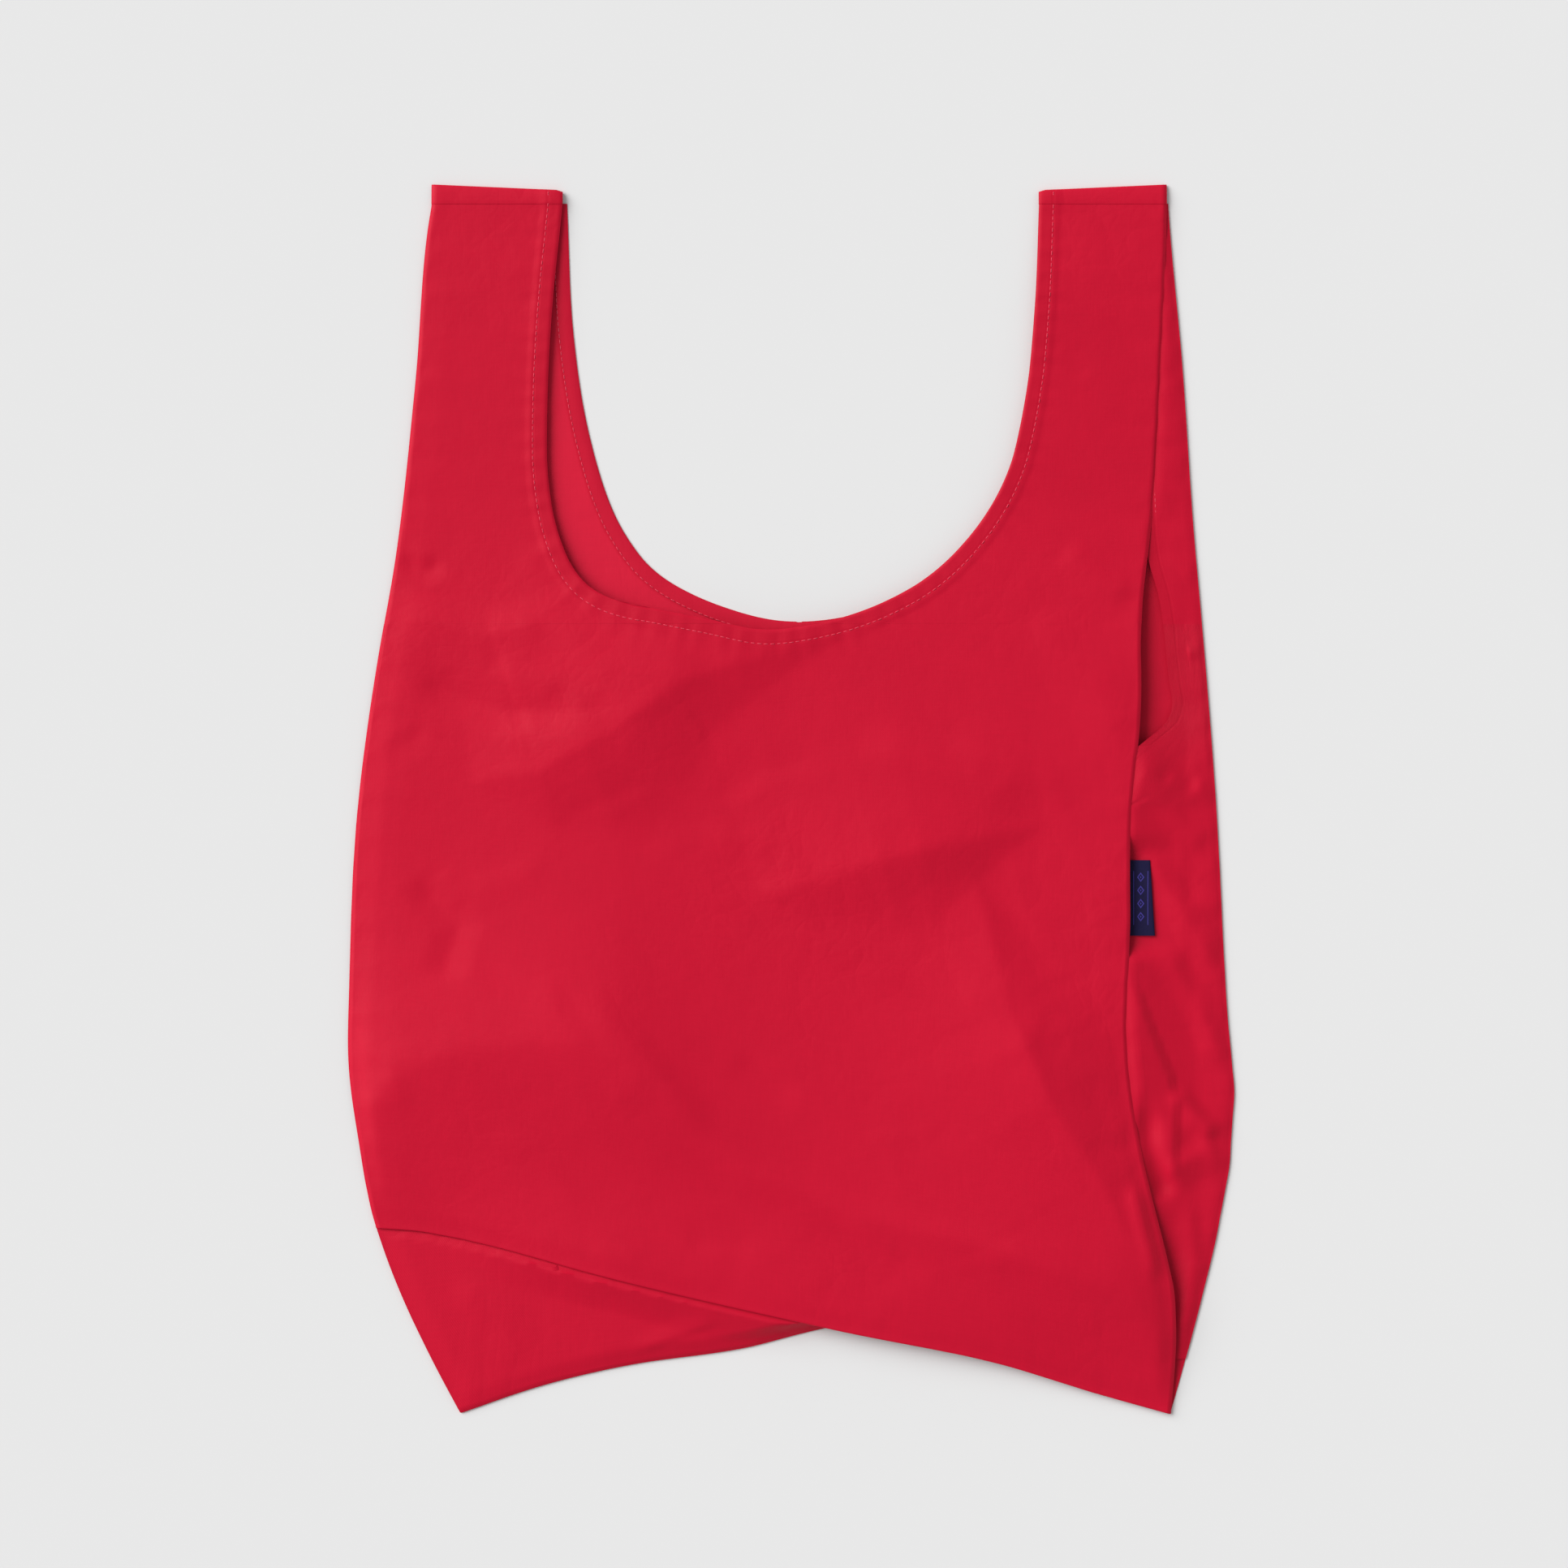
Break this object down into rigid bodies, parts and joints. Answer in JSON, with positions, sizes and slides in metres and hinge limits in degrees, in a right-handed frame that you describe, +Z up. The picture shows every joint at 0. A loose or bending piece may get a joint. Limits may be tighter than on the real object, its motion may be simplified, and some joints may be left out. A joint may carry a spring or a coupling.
{
  "type": "foldable tote bag",
  "caption": "Thin nylon vest-shaped shopping bag lying flat, with wide strap handles cut from its panels, folded-in gussets, hemmed edges and a bottom and handles that fold over.",
  "frame": {"origin": "on the surface that the bag lies on, under the middle of its bounding box", "axes": "+X across the bag to the right, +Y from its bottom to its handle tops, +Z up off the surface"},
  "size_m": [0.4585, 0.6357, 0.0103],
  "materials": {
    "nylon": "thin woven nylon, soft sheen",
    "turned_nylon": "the same nylon, turned over at hems and seams",
    "thread": "matching sewing thread",
    "woven_label": "tight woven satin label"
  },
  "bodies": {
    "body": {"back_panel": "nylon", "front_panel": "nylon", "gusset_hem_left_front": "turned_nylon", "gusset_hem_left_rear": "turned_nylon", "gusset_hem_right_front": "turned_nylon", "gusset_hem_right_rear": "turned_nylon", "gusset_left_front": "nylon", "gusset_left_rear": "nylon", "gusset_right_front": "nylon", "gusset_right_rear": "nylon", "neck_hem_front": "turned_nylon", "neck_hem_rear": "turned_nylon", "neck_stitching_front": "thread", "side_seam_body_left_front": "turned_nylon", "side_seam_body_left_rear": "turned_nylon", "side_seam_body_right_front": "turned_nylon", "side_seam_body_right_rear": "turned_nylon"},
    "bottom": {"back_panel_lower": "nylon", "bottom_seam": "turned_nylon", "front_bottom_strip": "nylon", "front_panel_lower": "nylon", "gusset_lower_left_front": "nylon", "gusset_lower_left_rear": "nylon", "gusset_lower_right_front": "nylon", "gusset_lower_right_rear": "nylon", "side_seam_bottom_left_front": "turned_nylon", "side_seam_bottom_left_rear": "turned_nylon", "side_seam_bottom_right_front": "turned_nylon", "side_seam_bottom_right_rear": "turned_nylon"},
    "left_handle": {"gusset_band_left_front": "nylon", "gusset_band_left_rear": "nylon", "left_handle_front": "nylon", "left_handle_rear": "nylon", "left_handle_top_seam": "turned_nylon", "neck_hem_front_left": "turned_nylon", "neck_hem_rear_left": "turned_nylon", "neck_stitching_front_left": "thread", "side_seam_handle_left_front": "turned_nylon", "side_seam_handle_left_rear": "turned_nylon"},
    "right_handle": {"gusset_band_right_front": "nylon", "gusset_band_right_rear": "nylon", "neck_hem_front_right": "turned_nylon", "neck_hem_rear_right": "turned_nylon", "neck_stitching_front_right": "thread", "right_handle_front": "nylon", "right_handle_rear": "nylon", "right_handle_top_seam": "turned_nylon", "side_seam_handle_right_front": "turned_nylon", "side_seam_handle_right_rear": "turned_nylon"},
    "label": {"label": "woven_label"}
  },
  "joints": [
    {"name": "bottom_fold", "type": "hinge", "parent": "body", "child": "bottom", "pos_m": [0, -0.11, 0.013], "axis": [-1, 0, 0], "range_deg": [0, 180]},
    {"name": "left_handle_fold", "type": "hinge", "parent": "body", "child": "left_handle", "pos_m": [-0.15, 0.105, 0.02], "axis": [1, 0, 0], "range_deg": [0, 180]},
    {"name": "right_handle_fold", "type": "hinge", "parent": "body", "child": "right_handle", "pos_m": [0.112, 0.105, 0.02], "axis": [1, 0, 0], "range_deg": [0, 180]},
    {"name": "label_fold", "type": "hinge", "parent": "body", "child": "label", "pos_m": [0.175, -0.0515, 0.0062], "axis": [0, -1, 0], "range_deg": [0, 165]}
  ]
}
